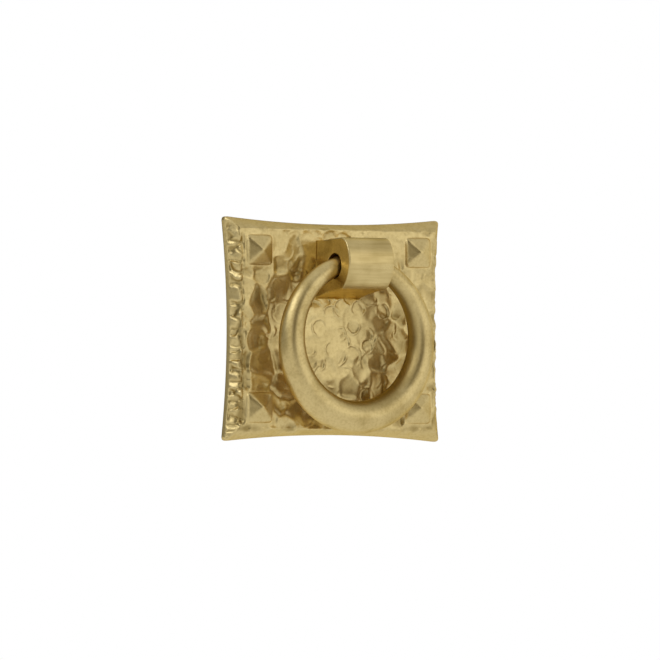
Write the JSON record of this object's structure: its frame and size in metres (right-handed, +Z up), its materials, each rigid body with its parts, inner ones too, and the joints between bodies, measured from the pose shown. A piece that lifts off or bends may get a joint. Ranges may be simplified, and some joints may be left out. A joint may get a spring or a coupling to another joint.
{
  "type": "ring pull handle",
  "caption": "Hammered backplate with drawn-in sides and pyramid corner studs, and a rounded post from which a tapering ring hangs and swings out as a drawer or door pull.",
  "frame": {"origin": "where the fixing screw enters the back of the post, on the plane of the plate's back", "axes": "+Y into the drawer front or door, +Z up as the pull hangs, +X to the right seen from the front"},
  "size_m": [0.0622, 0.0191, 0.0542],
  "materials": {
    "plate_brass": "satin, hammered",
    "post_brass": "satin",
    "ring_brass": "satin"
  },
  "bodies": {
    "base": {"backplate": "plate_brass", "ring_post": "post_brass"},
    "ring": {"pull_ring": "ring_brass"}
  },
  "joints": [
    {"name": "ring_swing", "type": "hinge", "parent": "base", "child": "ring", "pos_m": [0, -0.01225, 0.00065], "axis": [-1, 0, 0], "range_deg": [-5.5, 190]}
  ]
}
